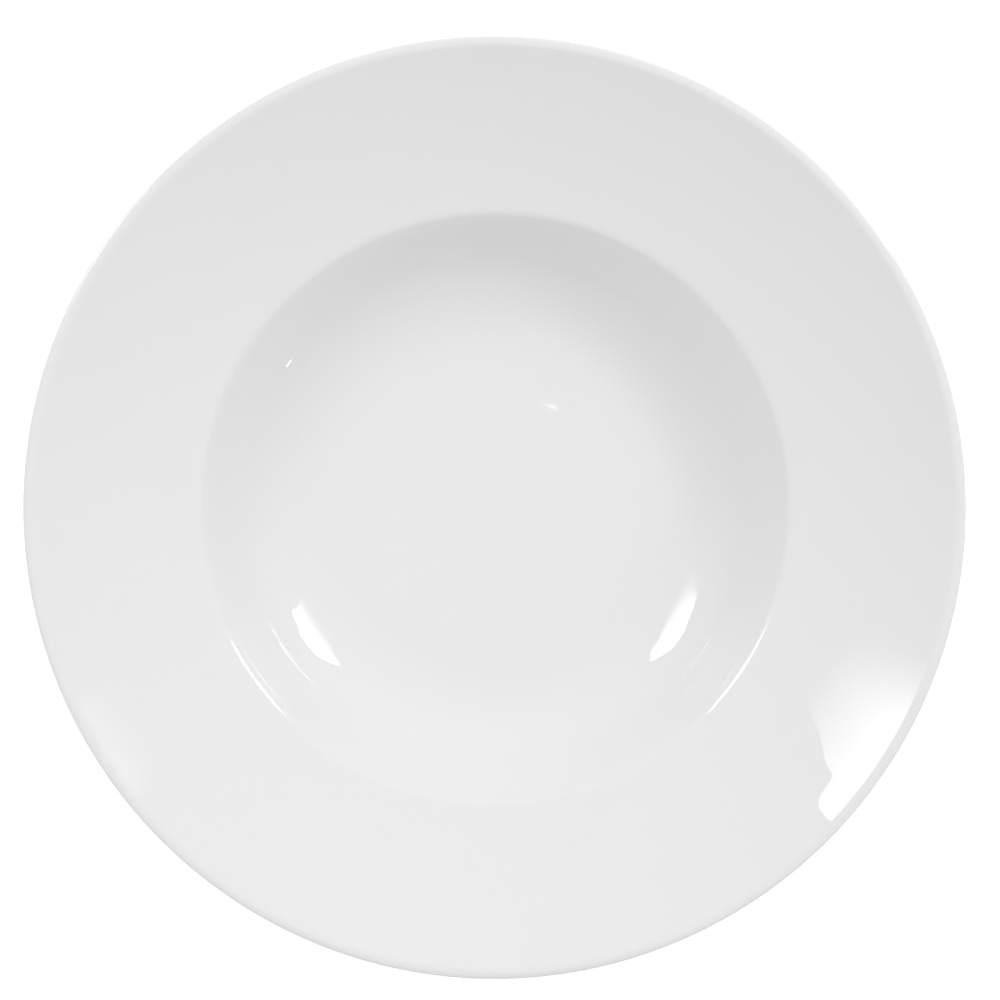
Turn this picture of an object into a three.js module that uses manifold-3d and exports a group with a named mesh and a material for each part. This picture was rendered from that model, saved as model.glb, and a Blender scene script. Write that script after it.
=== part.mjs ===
// A round pasta plate in white hotel porcelain: a deep well, a broad rising rim and a foot ring.
// Three pieces: the fired porcelain body, the glaze over its face and back, and the glaze in its recess.
// The bare standing edge of the foot parts the two coats.
// Millimetres, +Z up, with the origin in the standing plane.
import * as THREE from "three";
import { mergeVertices } from "three/addons/utils/BufferGeometryUtils.js";
import Module from "manifold-3d";

const wasm = await Module();
wasm.setup();

// Driving dimensions of the plate
const PLATE_DIAMETER = 300; // across the glazed lip
const WELL_DIAMETER = 193; // where the shoulder of the well runs out into the rim
const BODY_THICKNESS = 4; // porcelain, the same through floor, wall and rim
const GLAZE_THICKNESS = 0.3;

// The well, from its flat floor outwards; radii are those of the porcelain's face
const COVE_RADIUS = 42.5; // hollow curve from floor to wall
const WALL_SLOPE = 50.5; // degrees above the floor
const WALL_LENGTH = 9; // straight stretch between cove and shoulder
const EASE_RADIUS = 21; // gentle start of the shoulder
const EASE_SLOPE = 42.5; // degrees, where the gentle start tightens
const SHOULDER_RADIUS = 5.7;

// The rim, which steepens towards the lip
const RIM_SLOPE_INNER = 15.5; // degrees
const RIM_SLOPE_OUTER = 25.5; // degrees
const LIP_RADIUS = 3.8; // roll of the face over the lip
const LIP_EDGE_FALL = 17; // degrees downwards, where the roll tightens into the edge
const LIP_EDGE_RADIUS = 0.6; // the back of the lip takes the rest of the thickness

// The foot ring under the start of the cove
const FOOT_HEIGHT = 4.5;
const FOOT_OUTSET = 3; // middle of the standing edge, outside the edge of the flat floor
const FOOT_EDGE_WIDTH = 2.4; // flat, bare standing edge
const FOOT_EDGE_RADIUS = 1;
const FOOT_ROOT_RADIUS = 1.6;
const FOOT_DRAFT = 15; // degrees that each flank leans from upright
const GLAZE_LINE_HEIGHT = 1.5; // where the glaze was wiped off the foot

// How finely the round stretches are drawn
const TURN_SEGMENTS = 64;
const COVE_STEPS = 6;
const EASE_STEPS = 1;
const SHOULDER_STEPS = 4;
const RIM_STEPS = 3;
const LIP_STEPS = 3;
const LIP_EDGE_STEPS = 2;
const FOOT_STEPS = 2;

const PORCELAIN_COLOUR = 0xe9e8e4;
const GLAZE_COLOUR = 0xededec;

const QUARTER = Math.PI / 2;
const wallSlope = THREE.MathUtils.degToRad(WALL_SLOPE);
const easeSlope = THREE.MathUtils.degToRad(EASE_SLOPE);
const rimInner = THREE.MathUtils.degToRad(RIM_SLOPE_INNER);
const rimOuter = THREE.MathUtils.degToRad(RIM_SLOPE_OUTER);
const edgeFall = THREE.MathUtils.degToRad(LIP_EDGE_FALL);
const draft = THREE.MathUtils.degToRad(FOOT_DRAFT);

// How far each bend of the well reaches outwards, which leaves the flat floor
const coveWidth = COVE_RADIUS * Math.sin(wallSlope);
const wallWidth = WALL_LENGTH * Math.cos(wallSlope);
const easeWidth = EASE_RADIUS * (Math.sin(wallSlope) - Math.sin(easeSlope));
const shoulderWidth = SHOULDER_RADIUS * (Math.sin(easeSlope) - Math.sin(rimInner));
const floorRadius = WELL_DIAMETER / 2 - coveWidth - wallWidth - easeWidth - shoulderWidth;
const floorHeight = FOOT_HEIGHT + BODY_THICKNESS;

// The lip's three arcs share the body's thickness, and the rim reaches from the well to the lip
const rollDepth = LIP_RADIUS * (1 - Math.cos(rimOuter + edgeFall));
const edgeDepth = LIP_EDGE_RADIUS * (Math.sin(rimOuter) + Math.cos(rimOuter + edgeFall));
const lipUnderRadius = (BODY_THICKNESS - rollDepth - edgeDepth) / (1 - Math.sin(rimOuter));
const rollWidth = LIP_RADIUS * (Math.sin(rimOuter) + Math.sin(edgeFall));
const edgeWidth = LIP_EDGE_RADIUS * (1 - Math.sin(edgeFall));
const rimWidth = (PLATE_DIAMETER - WELL_DIAMETER) / 2 - GLAZE_THICKNESS - rollWidth - edgeWidth;
const rimRadius = rimWidth / (Math.sin(rimOuter) - Math.sin(rimInner));

// The bends of the face, each of which starts where the one before it ends
const upWall = new THREE.Vector2(Math.cos(wallSlope), Math.sin(wallSlope));
const floorEdge = new THREE.Vector2(floorRadius, floorHeight);
const cove = bend(floorEdge, COVE_RADIUS, 0, wallSlope, COVE_STEPS);
const wallTop = cove.end.clone().addScaledVector(upWall, WALL_LENGTH);
const ease = bend(wallTop, EASE_RADIUS, wallSlope, easeSlope, EASE_STEPS);
const shoulder = bend(ease.end, SHOULDER_RADIUS, easeSlope, rimInner, SHOULDER_STEPS);
const rim = bend(shoulder.end, rimRadius, rimInner, rimOuter, RIM_STEPS);
const lip = bend(rim.end, LIP_RADIUS, rimOuter, -edgeFall, LIP_STEPS);
const lipEdge = bend(lip.end, LIP_EDGE_RADIUS, -edgeFall, -QUARTER, LIP_EDGE_STEPS);
const lipUnderCentre = new THREE.Vector2(lipEdge.end.x - lipUnderRadius, lipEdge.end.y);

const footRadius = floorRadius + FOOT_OUTSET;
const edgeRise = FOOT_HEIGHT - FOOT_ROOT_RADIUS - FOOT_EDGE_RADIUS;
const innerRootCentre = new THREE.Vector2(
  footRadius - FOOT_EDGE_WIDTH / 2 -
    (FOOT_EDGE_RADIUS + FOOT_ROOT_RADIUS + Math.sin(draft) * edgeRise) / Math.cos(draft),
  FOOT_HEIGHT - FOOT_ROOT_RADIUS,
);
const outerRootCentre = findOuterRootCentre();

// Points along a circle between two polar angles, whichever way round is asked for.
function arc(centre, radius, from, to, steps) {
  return new THREE.EllipseCurve(centre.x, centre.y, radius, radius, from, to, from > to).getPoints(steps);
}

// Unit vector out of the face where it climbs at a slope.
function outOf(slope) {
  return new THREE.Vector2(-Math.sin(slope), Math.cos(slope));
}

// An arc of the face from a point on, between two slopes: hollow where it steepens, round where it flattens.
function bend(start, radius, from, to, steps) {
  const turn = Math.sign(to - from);
  const centre = start.clone().addScaledVector(outOf(from), turn * radius);
  const end = centre.clone().addScaledVector(outOf(to), -turn * radius);
  return { centre, radius, turn, from, to, steps, end };
}

// Points along a bend, moved out of the face by an offset, or into the body where the offset is negative.
function bendPoints({ centre, radius, turn, from, to, steps }, offset) {
  return arc(centre, radius - turn * offset, from - turn * QUARTER, to - turn * QUARTER, steps);
}

// The outer root fillet touches the flank's line and the back of the cove, a circle about the cove's centre.
function findOuterRootCentre() {
  const flankNormal = new THREE.Vector2(Math.cos(draft), -Math.sin(draft));
  const upFlank = new THREE.Vector2(Math.sin(draft), Math.cos(draft));
  const centre = new THREE.Vector2(footRadius + FOOT_EDGE_WIDTH / 2, FOOT_EDGE_RADIUS);
  centre.addScaledVector(flankNormal, FOOT_EDGE_RADIUS + FOOT_ROOT_RADIUS);
  const fromCove = centre.clone().sub(cove.centre);
  const reach = COVE_RADIUS + BODY_THICKNESS + FOOT_ROOT_RADIUS;
  const along = fromCove.dot(upFlank);
  return centre.addScaledVector(upFlank, -along - Math.sqrt(along ** 2 - fromCove.lengthSq() + reach ** 2));
}

// The face from the axis to the lip's outermost point. A coat thickens every stretch along its normal.
function facePoints(coat) {
  return [
    new THREE.Vector2(0, floorHeight + coat),
    ...bendPoints(cove, coat),
    ...bendPoints(ease, coat),
    ...bendPoints(shoulder, coat).slice(1),
    ...bendPoints(rim, coat).slice(1),
    ...bendPoints(lip, coat).slice(1),
    ...bendPoints(lipEdge, coat).slice(1),
  ];
}

// The back from the lip to the foot's outer flank, concentric with the face down to the foot's root.
function backPoints(coat) {
  const under = BODY_THICKNESS + coat;
  const rootUnder = FOOT_ROOT_RADIUS - coat;
  const rootAngle = outerRootCentre.clone().sub(cove.centre).angle() - 4 * QUARTER;
  return [
    ...arc(lipUnderCentre, lipUnderRadius + coat, 0, rimOuter - QUARTER, LIP_STEPS).slice(1),
    ...bendPoints(rim, -under).reverse().slice(1),
    ...bendPoints(shoulder, -under).reverse().slice(1),
    ...bendPoints(ease, -under).reverse().slice(1),
    ...arc(cove.centre, COVE_RADIUS + under, wallSlope - QUARTER, rootAngle, COVE_STEPS),
    ...arc(outerRootCentre, rootUnder, rootAngle + 2 * QUARTER, 2 * QUARTER - draft, FOOT_STEPS).slice(1),
  ];
}

// The recess from the foot's inner flank to the axis.
function recessPoints(coat) {
  return [
    ...arc(innerRootCentre, FOOT_ROOT_RADIUS - coat, draft, QUARTER, FOOT_STEPS),
    new THREE.Vector2(0, FOOT_HEIGHT - coat),
  ];
}

// One rounded corner of the bare standing edge, from the flank to the flat.
// Side is 1 on the outside of the ring and -1 on its inside.
function edgePoints(side) {
  const centre = new THREE.Vector2(footRadius + (side * FOOT_EDGE_WIDTH) / 2, FOOT_EDGE_RADIUS);
  const flank = -QUARTER + side * (QUARTER - draft);
  return arc(centre, FOOT_EDGE_RADIUS, flank, -QUARTER, FOOT_STEPS);
}

// Where a coated flank meets the glaze line.
function glazeLinePoint(side, coat) {
  const reach = FOOT_EDGE_RADIUS + coat + Math.sin(draft) * (GLAZE_LINE_HEIGHT - FOOT_EDGE_RADIUS);
  const offset = FOOT_EDGE_WIDTH / 2 + reach / Math.cos(draft);
  return new THREE.Vector2(footRadius + side * offset, GLAZE_LINE_HEIGHT);
}

// The whole outline of the porcelain, from the axis on the face to the axis in the recess.
function bodyOutline() {
  return [
    ...facePoints(0),
    ...backPoints(0),
    ...edgePoints(1),
    ...edgePoints(-1).reverse(),
    ...recessPoints(0),
  ];
}

// A line inside the porcelain, from under the foot to the axis, where an envelope is closed off.
const bodyMiddle = [
  new THREE.Vector2(footRadius, GLAZE_LINE_HEIGHT),
  new THREE.Vector2(footRadius, FOOT_HEIGHT + BODY_THICKNESS / 2),
  new THREE.Vector2(0, FOOT_HEIGHT + BODY_THICKNESS / 2),
];

// The coated outside of the plate down to the glaze line, closed inside the porcelain.
function outerEnvelope() {
  return [
    ...facePoints(GLAZE_THICKNESS),
    ...backPoints(GLAZE_THICKNESS),
    glazeLinePoint(1, GLAZE_THICKNESS),
    ...bodyMiddle,
  ];
}

// The coated recess inside the foot ring, closed inside the porcelain.
function recessEnvelope() {
  return [
    ...bodyMiddle.toReversed(),
    glazeLinePoint(-1, GLAZE_THICKNESS),
    ...recessPoints(GLAZE_THICKNESS),
  ];
}

// A turned solid about +Z, as a closed solid that can be cut.
function turned(outline) {
  const geometry = new THREE.LatheGeometry(outline.toReversed(), TURN_SEGMENTS).rotateX(QUARTER);
  geometry.deleteAttribute("normal");
  geometry.deleteAttribute("uv");
  const merged = mergeVertices(geometry);
  return new wasm.Manifold(
    new wasm.Mesh({
      numProp: 3,
      vertProperties: merged.attributes.position.array,
      triVerts: new Uint32Array(merged.index.array),
    }),
  );
}

// A named mesh from a solid.
function piece(name, solid, colour, roughness) {
  const { vertProperties, triVerts } = solid.getMesh();
  const geometry = new THREE.BufferGeometry();
  geometry.setAttribute("position", new THREE.BufferAttribute(vertProperties, 3));
  geometry.setIndex(new THREE.BufferAttribute(triVerts, 1));
  geometry.computeVertexNormals();
  const material = new THREE.MeshStandardMaterial({ color: colour, roughness, metalness: 0 });
  const mesh = new THREE.Mesh(geometry, material);
  mesh.name = name;
  return mesh;
}

const body = turned(bodyOutline());
const plate = new THREE.Group();
plate.add(
  piece("porcelain_body", body, PORCELAIN_COLOUR, 0.55),
  piece("outer_glaze", turned(outerEnvelope()).subtract(body), GLAZE_COLOUR, 0.05),
  piece("recess_glaze", turned(recessEnvelope()).subtract(body), GLAZE_COLOUR, 0.05),
);

export default plate;
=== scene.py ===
"""A glazed porcelain pasta plate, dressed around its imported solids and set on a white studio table."""

from typing import NamedTuple

import bpy
import numpy as np
from bpy.props import FloatProperty, FloatVectorProperty, IntProperty, PointerProperty, StringProperty
from mathutils import Matrix, Vector


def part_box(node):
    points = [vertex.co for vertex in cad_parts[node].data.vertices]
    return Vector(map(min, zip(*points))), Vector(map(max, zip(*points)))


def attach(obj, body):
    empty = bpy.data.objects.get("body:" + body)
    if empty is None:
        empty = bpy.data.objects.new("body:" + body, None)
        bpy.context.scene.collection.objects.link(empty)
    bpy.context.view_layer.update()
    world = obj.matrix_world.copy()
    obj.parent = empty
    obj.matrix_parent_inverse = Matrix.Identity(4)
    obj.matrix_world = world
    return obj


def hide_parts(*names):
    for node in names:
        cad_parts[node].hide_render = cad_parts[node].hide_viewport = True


bl_info = {
    "name": "Porcelain Pasta Plate",
    "version": (1, 0, 0),
    "blender": (4, 5, 0),
    "location": "View3D > Sidebar > Plate",
    "description": "Turns a glazed porcelain pasta plate and sets it on a white studio table",
    "category": "Add Mesh",
}

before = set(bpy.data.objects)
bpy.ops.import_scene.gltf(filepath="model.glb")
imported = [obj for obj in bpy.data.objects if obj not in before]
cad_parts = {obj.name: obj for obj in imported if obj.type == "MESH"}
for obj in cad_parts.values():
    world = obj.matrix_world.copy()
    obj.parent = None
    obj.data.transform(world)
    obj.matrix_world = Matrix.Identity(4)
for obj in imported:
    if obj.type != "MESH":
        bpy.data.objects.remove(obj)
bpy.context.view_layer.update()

MM = 0.001
QUARTER = np.pi / 2
BODY = "root"

# Steps along the section, where the surface shows and where another one hides it
SEEN_REACH = 1.5 * MM
HIDDEN_REACH = 5 * MM
# A tighter bend than this is stepped as finely as one of this radius
TIGHT_RADIUS = 28 * MM
# Edges that turn by more than this stay sharp
SHARP_TURN = np.radians(40)
TABLE_SIDES = 96

# Glaze, which is a glass, and fired porcelain bend light about alike
CERAMIC_IOR = 1.52

# The sockets of a Mix node that take and give colours
MIX_FIRST = 6
MIX_SECOND = 7
MIX_RESULT = 2

# Boxes of the solids, which give the plate's outer sizes
_, coat_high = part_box("outer_glaze")
_, porcelain_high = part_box("porcelain_body")
recess_low, recess_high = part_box("recess_glaze")


class PlateSizes(bpy.types.PropertyGroup):
    """The section of the plate, from its floor outwards and round to its foot."""

    plate_radius: FloatProperty(
        name="Plate radius", description="Axis to the glazed lip", default=coat_high.x, unit="LENGTH"
    )
    well_radius: FloatProperty(
        name="Well radius",
        description="Axis to where the shoulder meets the rim",
        default=96.5 * MM,
        unit="LENGTH",
    )
    thickness: FloatProperty(
        name="Body thickness", description="Porcelain without its glaze", default=4 * MM, unit="LENGTH"
    )
    glaze: FloatProperty(
        name="Glaze thickness",
        description="Coat on the porcelain",
        default=coat_high.x - porcelain_high.x,
        unit="LENGTH",
    )
    cove: FloatProperty(
        name="Cove radius", description="Hollow curve from floor to wall", default=42.5 * MM, unit="LENGTH"
    )
    wall_slope: FloatProperty(
        name="Wall slope", description="Angle above the floor", default=np.radians(50.5), subtype="ANGLE"
    )
    wall_length: FloatProperty(
        name="Wall length", description="Straight stretch above the cove", default=9 * MM, unit="LENGTH"
    )
    ease: FloatProperty(
        name="Ease radius", description="Gentle start of the shoulder", default=21 * MM, unit="LENGTH"
    )
    ease_slope: FloatProperty(
        name="Ease slope",
        description="Slope where the shoulder tightens",
        default=np.radians(42.5),
        subtype="ANGLE",
    )
    shoulder: FloatProperty(
        name="Shoulder radius", description="Round edge of the well", default=5.7 * MM, unit="LENGTH"
    )
    rim_inner: FloatProperty(
        name="Rim slope inside",
        description="Slope where the rim starts",
        default=np.radians(15.5),
        subtype="ANGLE",
    )
    rim_outer: FloatProperty(
        name="Rim slope outside",
        description="Slope where the lip starts",
        default=np.radians(25.5),
        subtype="ANGLE",
    )
    lip: FloatProperty(
        name="Lip radius", description="Roll of the face over the lip", default=3.8 * MM, unit="LENGTH"
    )
    lip_edge_fall: FloatProperty(
        name="Lip edge fall",
        description="Downward slope where the roll tightens",
        default=np.radians(17),
        subtype="ANGLE",
    )
    lip_edge: FloatProperty(
        name="Lip edge radius", description="Outermost edge of the lip", default=0.6 * MM, unit="LENGTH"
    )
    foot_height: FloatProperty(
        name="Foot height", description="Standing edge to base", default=recess_high.z, unit="LENGTH"
    )
    foot_outset: FloatProperty(
        name="Foot outset",
        description="Edge of the flat floor to the middle of the standing edge",
        default=3 * MM,
        unit="LENGTH",
    )
    foot_edge: FloatProperty(
        name="Standing edge", description="Width of the bare flat", default=2.4 * MM, unit="LENGTH"
    )
    foot_edge_radius: FloatProperty(
        name="Standing edge radius", description="Round beside the flat", default=1 * MM, unit="LENGTH"
    )
    foot_root_radius: FloatProperty(
        name="Foot root radius",
        description="Hollow where the foot meets the base",
        default=1.6 * MM,
        unit="LENGTH",
    )
    foot_draft: FloatProperty(
        name="Foot draft", description="Lean of the foot's flanks", default=np.radians(15), subtype="ANGLE"
    )
    glaze_line: FloatProperty(
        name="Glaze line", description="Height where the glaze ends", default=recess_low.z, unit="LENGTH"
    )
    segments: IntProperty(name="Segments", description="Steps round the plate", default=256, min=32)


class PlateFinish(bpy.types.PropertyGroup):
    """Colours and surface of the glaze, the bare porcelain and the table."""

    glaze_colour: StringProperty(
        name="Glaze", description="White under clear glaze, sRGB", default="#f0f0f0"
    )
    thin_glaze_colour: StringProperty(
        name="Thin glaze", description="Where the melt ran thin, sRGB", default="#ebebea"
    )
    porcelain_colour: StringProperty(
        name="Porcelain", description="Bare fired porcelain, sRGB", default="#dedbd3"
    )
    worn_colour: StringProperty(
        name="Worn porcelain", description="Grey from the table, sRGB", default="#bdb8ae"
    )
    table_colour: StringProperty(name="Table", description="Studio table, sRGB", default="#f4f4f4")
    glaze_roughness: FloatProperty(
        name="Glaze roughness", description="Fire-polished glaze", default=0.02, subtype="FACTOR"
    )
    porcelain_roughness: FloatProperty(
        name="Porcelain roughness", description="Belt-polished bare foot", default=0.6, subtype="FACTOR"
    )


class PlateStudio(bpy.types.PropertyGroup):
    """Camera, table and lights of the studio."""

    camera_height: FloatProperty(
        name="Camera height", description="Above the plate's lip", default=1.4, unit="LENGTH"
    )
    view_width: FloatProperty(
        name="View width",
        description="Width of the picture at the lip",
        default=317.9 * MM,
        unit="LENGTH",
    )
    view_offset: FloatVectorProperty(
        name="View offset",
        description="Middle of the picture, from the plate's axis",
        default=(1.717 * MM, 2.364 * MM),
        size=2,
        unit="LENGTH",
    )
    left_light: FloatProperty(
        name="Left light", description="Peak radiance of the left soft box", default=13.4
    )
    right_light: FloatProperty(
        name="Right light", description="Peak radiance of the right soft box", default=18.4
    )
    lamp_light: FloatProperty(name="Lamp light", description="Radiance of the small lamp", default=17.0)
    lens_light: FloatProperty(name="Lens light", description="Radiance of the lens edge", default=13.0)
    wall_light: FloatProperty(
        name="Wall light", description="Radiance of the room's walls", default=0.805
    )
    ceiling_light: FloatProperty(
        name="Ceiling light", description="Radiance of the room overhead", default=0.64
    )
    ceiling_start: FloatProperty(
        name="Ceiling start", description="Height where the walls end, as a sine", default=0.6
    )
    ceiling_full: FloatProperty(
        name="Ceiling full", description="Height where all is ceiling, as a sine", default=0.9
    )
    room_lean: FloatVectorProperty(
        name="Room lean",
        description="More room light to the right and to the back",
        default=(0.07, 0.095),
        size=2,
    )
    room_horizon: FloatProperty(
        name="Room horizon",
        description="Height of the dim band round the table, as a sine",
        default=0.35,
    )
    horizon_share: FloatProperty(
        name="Horizon share",
        description="What the dim band keeps of the room light",
        default=0.2,
        subtype="FACTOR",
    )
    table_radius: FloatProperty(
        name="Table radius", description="Round table top", default=12.0, unit="LENGTH"
    )
    table_glow: FloatProperty(
        name="Table glow", description="Lifts the table to white for the eye", default=0.5
    )


def linear(code):
    """sRGB hex to linear RGBA: a straight foot below 0.04045, and a power of 2.4 above it."""
    values = np.array([int(code[i : i + 2], 16) for i in (1, 3, 5)]) / 255
    lit = np.where(values <= 0.04045, values / 12.92, ((values + 0.055) / 1.055) ** 2.4)
    return (*lit.tolist(), 1.0)


def out_of(slope):
    """Unit vector out of the face where it climbs at a slope."""
    return np.array([-np.sin(slope), np.cos(slope)])


def arc(centre, radius, start, end, reach):
    """Centre plus radius times the cosine and sine of even angles, in steps of at most a reach."""
    sweep = abs(end - start)
    steps = max(2, int(np.ceil(max(radius, TIGHT_RADIUS) * sweep / reach)))
    angles = np.linspace(start, end, steps + 1)
    return np.asarray(centre) + radius * np.stack([np.cos(angles), np.sin(angles)], axis=-1)


def straight(start, end, reach):
    """Points from start to end in even steps of at most a reach."""
    start, end = np.asarray(start, float), np.asarray(end, float)
    steps = max(2, int(np.ceil(np.linalg.norm(end - start) / reach)))
    return start + np.linspace(0, 1, steps + 1)[:, None] * (end - start)


class Bend:
    """An arc of the face between two slopes: hollow where it steepens, round where it flattens."""

    def __init__(self, start, radius, slope, end_slope):
        self.radius = radius
        self.side = np.sign(end_slope - slope)
        self.centre = np.asarray(start) + self.side * radius * out_of(slope)
        self.end = self.centre - self.side * radius * out_of(end_slope)
        self.angles = (slope - self.side * QUARTER, end_slope - self.side * QUARTER)

    def points(self, offset, reach):
        """The arc moved out of the face by an offset, or into the body where the offset is negative."""
        return arc(self.centre, self.radius - self.side * offset, *self.angles, reach)


class Section:
    """Lines of the porcelain's section. A coat on any stretch follows it at an even distance."""

    def __init__(self, sizes, reach):
        self.sizes = sizes
        self.reach = reach
        # Flat stretches need fewer points than curved ones
        self.flat_reach = 4 * reach
        wall, ease = sizes.wall_slope, sizes.ease_slope
        inner, outer = sizes.rim_inner, sizes.rim_outer
        self.floor_height = sizes.foot_height + sizes.thickness
        cove_width = sizes.cove * np.sin(wall)
        wall_width = sizes.wall_length * np.cos(wall)
        ease_width = sizes.ease * (np.sin(wall) - np.sin(ease))
        shoulder_width = sizes.shoulder * (np.sin(ease) - np.sin(inner))
        self.floor_radius = sizes.well_radius - cove_width - wall_width - ease_width - shoulder_width
        fall = sizes.lip_edge_fall
        roll_width = sizes.lip * (np.sin(outer) + np.sin(fall))
        edge_width = sizes.lip_edge * (1 - np.sin(fall))
        rim_width = sizes.plate_radius - sizes.glaze - roll_width - edge_width - sizes.well_radius
        rim_radius = rim_width / (np.sin(outer) - np.sin(inner))

        self.cove = Bend((self.floor_radius, self.floor_height), sizes.cove, 0, wall)
        wall_top = self.cove.end + sizes.wall_length * np.array([np.cos(wall), np.sin(wall)])
        self.ease = Bend(wall_top, sizes.ease, wall, ease)
        self.shoulder = Bend(self.ease.end, sizes.shoulder, ease, inner)
        self.rim = Bend(self.shoulder.end, rim_radius, inner, outer)
        self.lip = Bend(self.rim.end, sizes.lip, outer, -fall)
        self.lip_edge = Bend(self.lip.end, sizes.lip_edge, -fall, -QUARTER)
        # The back of the lip takes what the roll and the edge leave of the body's thickness
        roll_depth = sizes.lip * (1 - np.cos(outer + fall))
        edge_depth = sizes.lip_edge * (np.sin(outer) + np.cos(outer + fall))
        self.lip_under = (sizes.thickness - roll_depth - edge_depth) / (1 - np.sin(outer))
        self.lip_under_centre = self.lip_edge.end - np.array([self.lip_under, 0])
        self.foot_radius = self.floor_radius + sizes.foot_outset
        self.inner_root_centre = self.find_inner_root()
        self.outer_root_centre = self.find_outer_root()

    def find_inner_root(self):
        """The inner root fillet touches the flat base and the inner flank's line."""
        sizes = self.sizes
        rise = sizes.foot_height - sizes.foot_root_radius - sizes.foot_edge_radius
        run = sizes.foot_edge_radius + sizes.foot_root_radius + np.sin(sizes.foot_draft) * rise
        radius = self.foot_radius - sizes.foot_edge / 2 - run / np.cos(sizes.foot_draft)
        return np.array([radius, sizes.foot_height - sizes.foot_root_radius])

    def find_outer_root(self):
        """The outer root fillet touches the flank's line and the cove's back, a circle about its centre."""
        sizes = self.sizes
        normal = np.array([np.cos(sizes.foot_draft), -np.sin(sizes.foot_draft)])
        up_flank = np.array([np.sin(sizes.foot_draft), np.cos(sizes.foot_draft)])
        start = np.array([self.foot_radius + sizes.foot_edge / 2, sizes.foot_edge_radius])
        start = start + normal * (sizes.foot_edge_radius + sizes.foot_root_radius)
        from_cove = start - self.cove.centre
        reach = sizes.cove + sizes.thickness + sizes.foot_root_radius
        along = from_cove @ up_flank
        return start + up_flank * (-along - np.sqrt(along**2 - from_cove @ from_cove + reach**2))

    def face(self, coat):
        """Floor, cove, wall, shoulder, rim and the face side of the lip, from the axis outwards."""
        height = self.floor_height + coat
        floor = straight((0, height), (self.floor_radius, height), self.flat_reach)
        bends = (self.cove, self.ease, self.shoulder, self.rim, self.lip, self.lip_edge)
        cove, ease, *outward = (bend.points(coat, self.reach) for bend in bends)
        wall = straight(cove[-1], ease[0], self.reach)
        return np.vstack([floor[:-1], cove, wall[1:-1], ease, *(points[1:] for points in outward)])

    def back(self, coat):
        """The back from the lip to the root of the foot, concentric with the face."""
        sizes = self.sizes
        under = -sizes.thickness - coat
        toward_root = self.outer_root_centre - self.cove.centre
        root = np.arctan2(toward_root[1], toward_root[0])
        lip_end = sizes.rim_outer - QUARTER
        lip = arc(self.lip_under_centre, self.lip_under + coat, 0, lip_end, self.reach)
        bends = (self.rim, self.shoulder, self.ease)
        rim, shoulder, ease = (bend.points(under, self.reach)[::-1] for bend in bends)
        cove_start = sizes.wall_slope - QUARTER
        cove = arc(self.cove.centre, sizes.cove - under, cove_start, root, self.reach)
        wall = straight(ease[-1], cove[0], self.reach)
        fillet = arc(
            self.outer_root_centre,
            sizes.foot_root_radius - coat,
            root + np.pi,
            np.pi - sizes.foot_draft,
            self.reach,
        )
        return np.vstack([lip[1:], rim[1:], shoulder[1:], ease[1:], wall[1:-1], cove, fillet[1:]])

    def recess(self, coat):
        """The recess inside the foot, from its flank to the axis."""
        sizes = self.sizes
        height = sizes.foot_height - coat
        radius = sizes.foot_root_radius - coat
        fillet = arc(self.inner_root_centre, radius, sizes.foot_draft, QUARTER, self.reach)
        base = straight((self.inner_root_centre[0], height), (0, height), self.flat_reach)
        return np.vstack([fillet, base[1:]])

    def standing_edge(self):
        """The bare foot, from its outer flank round the flat to its inner flank."""
        sizes = self.sizes
        half = sizes.foot_edge / 2
        radius = sizes.foot_edge_radius
        inner_end = sizes.foot_draft - np.pi
        outer = arc((self.foot_radius + half, radius), radius, -sizes.foot_draft, -QUARTER, self.reach)
        inner = arc((self.foot_radius - half, radius), radius, -QUARTER, inner_end, self.reach)
        return np.vstack([outer, inner])

    def glaze_end(self, side, coat):
        """Where a coated flank of the foot meets the glaze line: side 1 is outside the ring, -1 inside."""
        sizes = self.sizes
        lean = np.sin(sizes.foot_draft) * (sizes.glaze_line - sizes.foot_edge_radius)
        offset = sizes.foot_edge / 2 + (sizes.foot_edge_radius + coat + lean) / np.cos(sizes.foot_draft)
        return np.array([[self.foot_radius + side * offset, sizes.glaze_line]])


def turn(name, outline, segments):
    """A closed turned mesh: each (r, z) of an outline from axis to axis, at r cos a, r sin a, z."""
    angles = np.linspace(0, 2 * np.pi, segments, endpoint=False)
    rings = outline[1:-1]
    ring_points = np.empty((len(rings), segments, 3))
    ring_points[..., 0] = np.outer(rings[:, 0], np.cos(angles))
    ring_points[..., 1] = np.outer(rings[:, 0], np.sin(angles))
    ring_points[..., 2] = rings[:, 1, None]
    poles = np.array([[0, 0, outline[0, 1]], [0, 0, outline[-1, 1]]])
    points = np.vstack([ring_points.reshape(-1, 3), poles])

    index = np.arange(len(rings) * segments).reshape(len(rings), segments)
    following = np.roll(index, -1, axis=1)
    quads = np.stack([index[:-1], index[1:], following[1:], following[:-1]], axis=-1).reshape(-1, 4)
    first_pole = np.full(segments, index.size)
    first_fan = np.stack([first_pole, index[0], following[0]], axis=-1)
    last_fan = np.stack([first_pole + 1, following[-1], index[-1]], axis=-1)

    mesh = bpy.data.meshes.new(name)
    mesh.from_pydata(points.tolist(), [], quads.tolist() + first_fan.tolist() + last_fan.tolist())
    mesh.shade_smooth()
    mesh.set_sharp_from_angle(angle=SHARP_TURN)
    piece = bpy.data.objects.new(name, mesh)
    bpy.context.scene.collection.objects.link(piece)
    return piece


def add_node(tree, kind, inputs=None, **settings):
    """Adds one node with its own settings. Inputs are values or other nodes' sockets, by socket name."""
    node = tree.nodes.new(kind)
    for option, value in settings.items():
        setattr(node, option, value)
    for socket, value in (inputs or {}).items():
        if isinstance(value, bpy.types.NodeSocket):
            tree.links.new(value, node.inputs[socket])
        else:
            node.inputs[socket].default_value = value
    return node


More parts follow.
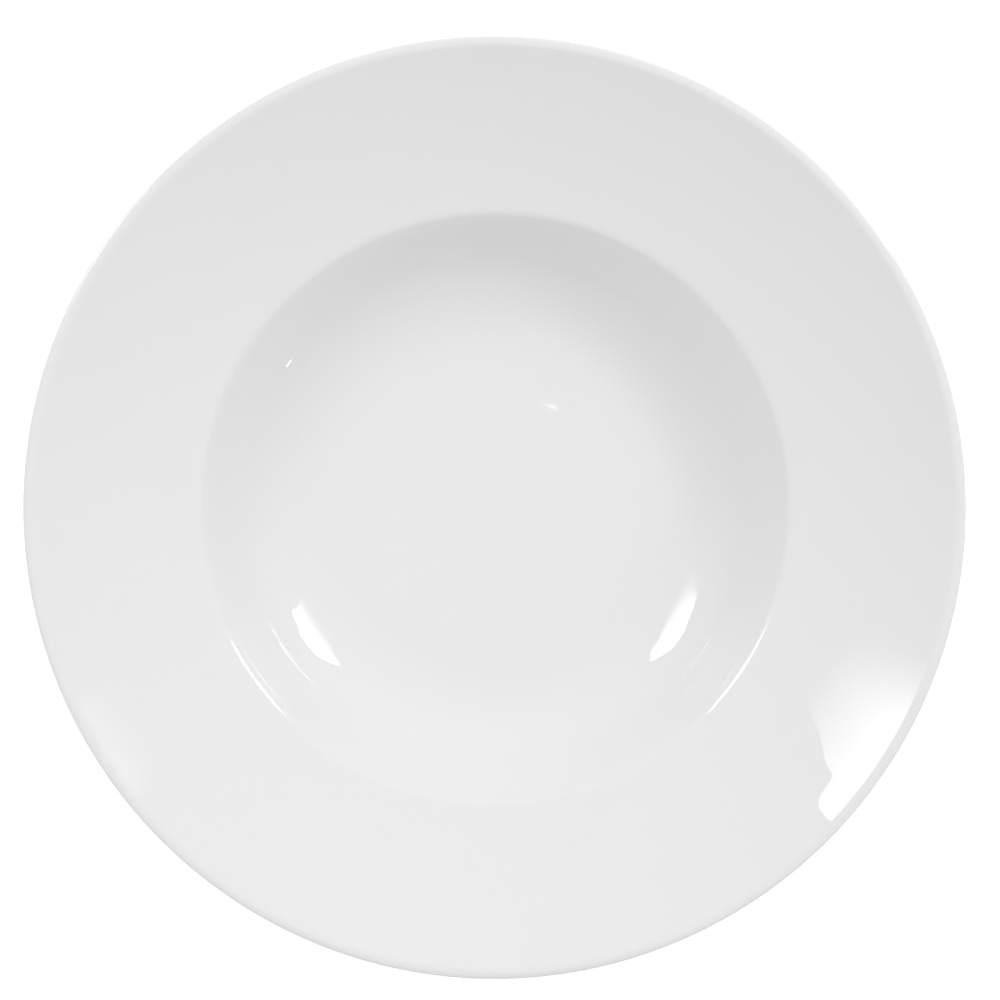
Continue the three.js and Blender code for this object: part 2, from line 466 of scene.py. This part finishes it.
def new_material(name):
    """An empty node material and its tree."""
    material = bpy.data.materials.new(name)
    material.use_nodes = True
    material.node_tree.nodes.clear()
    return material, material.node_tree


def glazed_porcelain(finish):
    """Clear glaze fired on white porcelain: the melt levels to a hard gloss and keeps a faint ripple."""
    material, tree = new_material("Clear glaze on white porcelain")
    place = add_node(tree, "ShaderNodeTexCoord").outputs["Object"]
    # The pressed body is true to about a hundredth of a millimetre, so mirrored edges waver over some 20 mm
    ripple = add_node(
        tree, "ShaderNodeTexNoise", {"Vector": place, "Scale": 1 / (20 * MM), "Detail": 1.0}
    )
    waver = add_node(
        tree,
        "ShaderNodeBump",
        {"Height": ripple.outputs["Fac"], "Strength": 1.0, "Distance": 0.01 * MM},
    )
    # Orange peel of the cooled melt, about a millimetre in life and drawn three times as coarse to show
    peel = add_node(tree, "ShaderNodeTexNoise", {"Vector": place, "Scale": 1 / (3 * MM), "Detail": 1.0})
    skin = add_node(
        tree,
        "ShaderNodeBump",
        {
            "Height": peel.outputs["Fac"],
            "Strength": 1.0,
            "Distance": 0.00015 * MM,
            "Normal": waver.outputs["Normal"],
        },
    )
    # The coat pools unevenly over some 40 mm, and the body greys the white where it is thin
    pooling = add_node(
        tree, "ShaderNodeTexNoise", {"Vector": place, "Scale": 1 / (40 * MM), "Detail": 2.0}
    )
    thinning = add_node(
        tree,
        "ShaderNodeMapRange",
        {
            "Value": pooling.outputs["Fac"],
            "From Min": 0.55,
            "From Max": 0.95,
            "To Min": 0.0,
            "To Max": 0.3,
        },
    )
    colour = add_node(
        tree,
        "ShaderNodeMix",
        {
            "Factor": thinning.outputs["Result"],
            MIX_FIRST: linear(finish.glaze_colour),
            MIX_SECOND: linear(finish.thin_glaze_colour),
        },
        data_type="RGBA",
    )
    shader = add_node(
        tree,
        "ShaderNodeBsdfPrincipled",
        {
            "Base Color": colour.outputs[MIX_RESULT],
            "Roughness": finish.glaze_roughness,
            "IOR": CERAMIC_IOR,
            "Normal": skin.outputs["Normal"],
        },
    )
    add_node(tree, "ShaderNodeOutputMaterial", {"Surface": shader.outputs["BSDF"]})
    return material


def bare_porcelain(finish):
    """Fired porcelain wiped free of glaze and polished on a belt: matte, warm, greyed by tables."""
    material, tree = new_material("Bare fired porcelain")
    place = add_node(tree, "ShaderNodeTexCoord").outputs["Object"]
    # Grit of the fired body, about 0.05 mm in life and drawn at 0.4 mm to show
    grit = add_node(
        tree, "ShaderNodeTexNoise", {"Vector": place, "Scale": 1 / (0.4 * MM), "Detail": 2.0}
    )
    grain = add_node(
        tree,
        "ShaderNodeBump",
        {"Height": grit.outputs["Fac"], "Strength": 1.0, "Distance": 0.04 * MM},
    )
    # Grey rubs off tables in patches of about 9 mm
    rub = add_node(tree, "ShaderNodeTexNoise", {"Vector": place, "Scale": 1 / (9 * MM), "Detail": 3.0})
    wear = add_node(
        tree,
        "ShaderNodeMapRange",
        {
            "Value": rub.outputs["Fac"],
            "From Min": 0.5,
            "From Max": 0.8,
            "To Min": 0.0,
            "To Max": 0.7,
        },
    )
    colour = add_node(
        tree,
        "ShaderNodeMix",
        {
            "Factor": wear.outputs["Result"],
            MIX_FIRST: linear(finish.porcelain_colour),
            MIX_SECOND: linear(finish.worn_colour),
        },
        data_type="RGBA",
    )
    shader = add_node(
        tree,
        "ShaderNodeBsdfPrincipled",
        {
            "Base Color": colour.outputs[MIX_RESULT],
            "Roughness": finish.porcelain_roughness,
            "IOR": CERAMIC_IOR,
            "Normal": grain.outputs["Normal"],
        },
    )
    add_node(tree, "ShaderNodeOutputMaterial", {"Surface": shader.outputs["BSDF"]})
    return material


def dress(piece, material, node):
    """Finishes a piece, sets it on the plate's body and lets it stand for its solid."""
    piece.data.materials.append(material)
    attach(piece, BODY)
    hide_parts(node)


class PLATE_OT_body(bpy.types.Operator):
    """Turns the porcelain body, of which only the standing edge stays bare"""

    bl_idname = "plate.body"
    bl_label = "Porcelain body"

    def execute(self, context):
        scene = context.scene
        hidden = Section(scene.plate_sizes, HIDDEN_REACH)
        foot = Section(scene.plate_sizes, SEEN_REACH).standing_edge()
        outline = np.vstack([hidden.face(0), hidden.back(0), foot, hidden.recess(0)])
        piece = turn("porcelain_core", outline, scene.plate_sizes.segments)
        dress(piece, bare_porcelain(scene.plate_finish), "porcelain_body")
        return {"FINISHED"}


class PLATE_OT_glaze(bpy.types.Operator):
    """Coats the face, lip and back down to the line on the foot, and the recess inside the foot"""

    bl_idname = "plate.glaze"
    bl_label = "Glaze coats"

    def execute(self, context):
        scene = context.scene
        sizes = scene.plate_sizes
        seen = Section(sizes, SEEN_REACH)
        hidden = Section(sizes, HIDDEN_REACH)
        outside = [seen.face(sizes.glaze), seen.back(sizes.glaze), seen.glaze_end(1, sizes.glaze)]
        inside = [hidden.face(0), hidden.back(0), hidden.glaze_end(1, 0)]
        outline = np.vstack([*outside, np.vstack(inside)[::-1]])
        coat = turn("glazed_face_and_back", outline, sizes.segments)
        recess_top = np.vstack([hidden.glaze_end(-1, 0), hidden.recess(0)])[::-1]
        outline = np.vstack([recess_top, seen.glaze_end(-1, sizes.glaze), seen.recess(sizes.glaze)])
        recess = turn("glazed_recess", outline, sizes.segments)
        material = glazed_porcelain(scene.plate_finish)
        dress(coat, material, "outer_glaze")
        dress(recess, material, "recess_glaze")
        return {"FINISHED"}


class LightPanel(NamedTuple):
    """A flat panel of light, outlined in mm. Seen from the plate, x runs to larger azimuths and y up."""

    name: str
    azimuth: float
    polar: float
    distance: float
    outline: tuple
    full_height: float
    dark_height: float
    fade_power: float
    full_side: float
    dark_side: float


# The soft box behind on the left hangs by a corner, and its cloth dims towards the top and one side
LEFT_BOX = LightPanel(
    name="soft_box_left",
    azimuth=np.radians(146),
    polar=np.radians(46),
    distance=2.5,
    outline=(
        (-165, -345),
        (45, -335),
        (95, -260),
        (205, -185),
        (340, -70),
        (430, 90),
        (430, 500),
        (60, 800),
        (40, 600),
        (-20, 480),
        (-85, 400),
        (-120, 320),
        (-210, 314),
        (-245, 285),
        (-260, 215),
        (-280, 120),
        (-330, 40),
        (-325, -30),
        (-300, -90),
        (-240, -210),
    ),
    full_height=-310 * MM,
    dark_height=640 * MM,
    fade_power=1.0,
    full_side=130 * MM,
    dark_side=470 * MM,
)

# The one on the right hangs lower and dims sooner towards the top
RIGHT_BOX = LightPanel(
    name="soft_box_right",
    azimuth=np.radians(37),
    polar=np.radians(46),
    distance=2.5,
    outline=(
        (-20, -600),
        (110, -570),
        (175, -460),
        (235, -300),
        (285, -120),
        (265, -50),
        (150, 50),
        (0, 310),
        (-60, 440),
        (-350, 440),
        (-335, -140),
        (-365, -320),
        (-330, -440),
        (-200, -460),
        (-170, -570),
        (-120, -600),
    ),
    full_height=-480 * MM,
    dark_height=450 * MM,
    fade_power=2.0,
    full_side=-330 * MM,
    dark_side=-380 * MM,
)

# A small lamp low in front on the right leaves a spark in the far side of the well
LOW_LAMP = LightPanel(
    name="low_lamp",
    azimuth=np.radians(324.7),
    polar=np.radians(80),
    distance=2.5,
    outline=((-50, -20), (50, -20), (50, 40), (-50, 40)),
    full_height=40 * MM,
    dark_height=80 * MM,
    fade_power=1.0,
    full_side=-10 * MM,
    dark_side=-50 * MM,
)

# The bright edge of the camera's lens leaves a short streak on the floor of the well
LENS_EDGE = LightPanel(
    name="lens_edge",
    azimuth=np.radians(62),
    polar=np.radians(2.85),
    distance=1.456,
    outline=((-6.2, -1.4), (8.2, 0.9), (8.2, 1.7), (-6.2, -0.6)),
    full_height=2 * MM,
    dark_height=4 * MM,
    fade_power=1.0,
    full_side=-3 * MM,
    dark_side=8 * MM,
)


class PLATE_OT_stage(bpy.types.Operator):
    """Sets up the white table, the room light, the soft boxes, two glints and the overhead camera"""

    bl_idname = "plate.stage"
    bl_label = "Studio"

    def execute(self, context):
        scene = context.scene
        studio = scene.plate_studio
        scene.view_settings.view_transform = "Standard"
        self.table(scene, studio)
        self.room(scene, studio)
        self.panel(scene, LEFT_BOX, studio.left_light)
        self.panel(scene, RIGHT_BOX, studio.right_light)
        self.panel(scene, LOW_LAMP, studio.lamp_light)
        self.panel(scene, LENS_EDGE, studio.lens_light)
        self.camera(scene, studio)
        return {"FINISHED"}

    def table(self, scene, studio):
        """A round table top that takes the plate's shadow, lifted to white where it is seen or mirrored."""
        angles = np.linspace(0, 2 * np.pi, TABLE_SIDES, endpoint=False)
        ring = np.stack([np.cos(angles), np.sin(angles), np.zeros_like(angles)], axis=-1)
        points = studio.table_radius * ring
        mesh = bpy.data.meshes.new("table")
        mesh.from_pydata(points.tolist(), [], [list(range(len(points)))])
        table = bpy.data.objects.new("table", mesh)
        scene.collection.objects.link(table)
        material, tree = new_material("White laminate table")
        colour = linear(scene.plate_finish.table_colour)
        diffuse = add_node(tree, "ShaderNodeBsdfDiffuse", {"Color": colour})
        path = add_node(tree, "ShaderNodeLightPath")
        mirrored = add_node(
            tree,
            "ShaderNodeMath",
            {0: path.outputs["Is Glossy Ray"], 1: path.outputs["Is Transmission Ray"]},
            operation="MAXIMUM",
        )
        seen = add_node(
            tree,
            "ShaderNodeMath",
            {0: path.outputs["Is Camera Ray"], 1: mirrored.outputs[0]},
            operation="MAXIMUM",
        )
        lift = add_node(
            tree, "ShaderNodeMath", {0: seen.outputs[0], 1: studio.table_glow}, operation="MULTIPLY"
        )
        glow = add_node(tree, "ShaderNodeEmission", {"Strength": lift.outputs[0]})
        lit = add_node(tree, "ShaderNodeAddShader", {0: diffuse.outputs[0], 1: glow.outputs[0]})
        add_node(tree, "ShaderNodeOutputMaterial", {"Surface": lit.outputs[0]})
        mesh.materials.append(material)

    def room(self, scene, studio):
        """Light from the whole room: its walls, a dimmer ceiling, and a dim band near the table."""
        world = bpy.data.worlds.new("Studio room")
        world.use_nodes = True
        tree = world.node_tree
        tree.nodes.clear()
        toward = add_node(tree, "ShaderNodeTexCoord").outputs["Generated"]
        across = add_node(tree, "ShaderNodeSeparateXYZ", {0: toward})
        leaning = add_node(
            tree,
            "ShaderNodeVectorMath",
            {0: toward, 1: (*studio.room_lean, 0)},
            operation="DOT_PRODUCT",
        )
        height = add_node(
            tree,
            "ShaderNodeMapRange",
            {
                "Value": across.outputs["Z"],
                "From Min": studio.ceiling_start,
                "From Max": studio.ceiling_full,
                "To Min": studio.wall_light,
                "To Max": studio.ceiling_light,
            },
            interpolation_type="SMOOTHSTEP",
        )
        level = add_node(
            tree,
            "ShaderNodeMath",
            {0: leaning.outputs["Value"], 1: height.outputs["Result"]},
            operation="ADD",
        )
        dim_band = add_node(
            tree,
            "ShaderNodeMapRange",
            {
                "Value": across.outputs["Z"],
                "From Min": 0.0,
                "From Max": studio.room_horizon,
                "To Min": studio.horizon_share,
            },
            interpolation_type="SMOOTHSTEP",
        )
        strength = add_node(
            tree,
            "ShaderNodeMath",
            {0: level.outputs[0], 1: dim_band.outputs["Result"]},
            operation="MULTIPLY",
        )
        glow = add_node(
            tree, "ShaderNodeBackground", {"Color": (1, 1, 1, 1), "Strength": strength.outputs[0]}
        )
        add_node(tree, "ShaderNodeOutputWorld", {"Surface": glow.outputs[0]})
        scene.world = world

    def panel(self, scene, panel, radiance):
        """A glowing sheet that faces the plate, adds to the room's light and fades upwards and sideways."""
        outline = np.array(panel.outline) * MM
        points = np.column_stack([outline, np.zeros(len(outline))])
        mesh = bpy.data.meshes.new(panel.name)
        mesh.from_pydata(points.tolist(), [], [list(range(len(points)))])
        material, tree = new_material("Diffusion cloth")
        place = add_node(tree, "ShaderNodeTexCoord").outputs["Object"]
        axes = add_node(tree, "ShaderNodeSeparateXYZ", {0: place})
        rise = add_node(
            tree,
            "ShaderNodeMapRange",
            {
                "Value": axes.outputs["Y"],
                "From Min": panel.dark_height,
                "From Max": panel.full_height,
            },
        )
        upward_fade = add_node(
            tree,
            "ShaderNodeMath",
            {0: rise.outputs["Result"], 1: panel.fade_power},
            operation="POWER",
        )
        side_fade = add_node(
            tree,
            "ShaderNodeMapRange",
            {
                "Value": axes.outputs["X"],
                "From Min": panel.dark_side,
                "From Max": panel.full_side,
                "To Max": radiance,
            },
            interpolation_type="SMOOTHSTEP",
        )
        strength = add_node(
            tree,
            "ShaderNodeMath",
            {0: upward_fade.outputs[0], 1: side_fade.outputs["Result"]},
            operation="MULTIPLY",
        )
        glow = add_node(tree, "ShaderNodeEmission", {"Strength": strength.outputs[0]})
        behind = add_node(tree, "ShaderNodeBsdfTransparent")
        cloth = add_node(tree, "ShaderNodeAddShader", {0: glow.outputs[0], 1: behind.outputs[0]})
        add_node(tree, "ShaderNodeOutputMaterial", {"Surface": cloth.outputs[0]})
        mesh.materials.append(material)

        away = Vector(
            (
                np.sin(panel.polar) * np.cos(panel.azimuth),
                np.sin(panel.polar) * np.sin(panel.azimuth),
                np.cos(panel.polar),
            )
        )
        across = Vector((0, 0, 1)).cross(away).normalized()
        upward = away.cross(across)
        lamp = bpy.data.objects.new(panel.name, mesh)
        facing = Matrix((across, upward, away)).transposed().to_4x4()
        lamp.matrix_world = Matrix.Translation(away * panel.distance) @ facing
        lamp.visible_camera = False
        scene.collection.objects.link(lamp)

    def camera(self, scene, studio):
        """A long lens straight above the plate."""
        data = bpy.data.cameras.new("overhead_camera")
        data.lens = data.sensor_width * studio.camera_height / studio.view_width
        camera = bpy.data.objects.new("overhead_camera", data)
        camera.location = (*studio.view_offset, coat_high.z + studio.camera_height)
        scene.collection.objects.link(camera)
        scene.camera = camera


class PLATE_PT_sidebar(bpy.types.Panel):
    """Lists the plate's pieces and their sizes"""

    bl_label = "Pasta plate"
    bl_idname = "PLATE_PT_sidebar"
    bl_space_type = "VIEW_3D"
    bl_region_type = "UI"
    bl_category = "Plate"

    def draw(self, context):
        scene = context.scene
        for group in (scene.plate_sizes, scene.plate_finish, scene.plate_studio):
            box = self.layout.box()
            for key in group.__annotations__:
                box.prop(group, key)
        for operator in ("plate.body", "plate.glaze", "plate.stage"):
            self.layout.operator(operator)


CLASSES = (
    PlateSizes,
    PlateFinish,
    PlateStudio,
    PLATE_OT_body,
    PLATE_OT_glaze,
    PLATE_OT_stage,
    PLATE_PT_sidebar,
)


def register():
    for cls in CLASSES:
        bpy.utils.register_class(cls)
    bpy.types.Scene.plate_sizes = PointerProperty(type=PlateSizes)
    bpy.types.Scene.plate_finish = PointerProperty(type=PlateFinish)
    bpy.types.Scene.plate_studio = PointerProperty(type=PlateStudio)


def unregister():
    del bpy.types.Scene.plate_studio
    del bpy.types.Scene.plate_finish
    del bpy.types.Scene.plate_sizes
    for cls in reversed(CLASSES):
        bpy.utils.unregister_class(cls)


def main():
    register()
    bpy.ops.plate.body()
    bpy.ops.plate.glaze()
    bpy.ops.plate.stage()


if __name__ == "__main__":
    main()
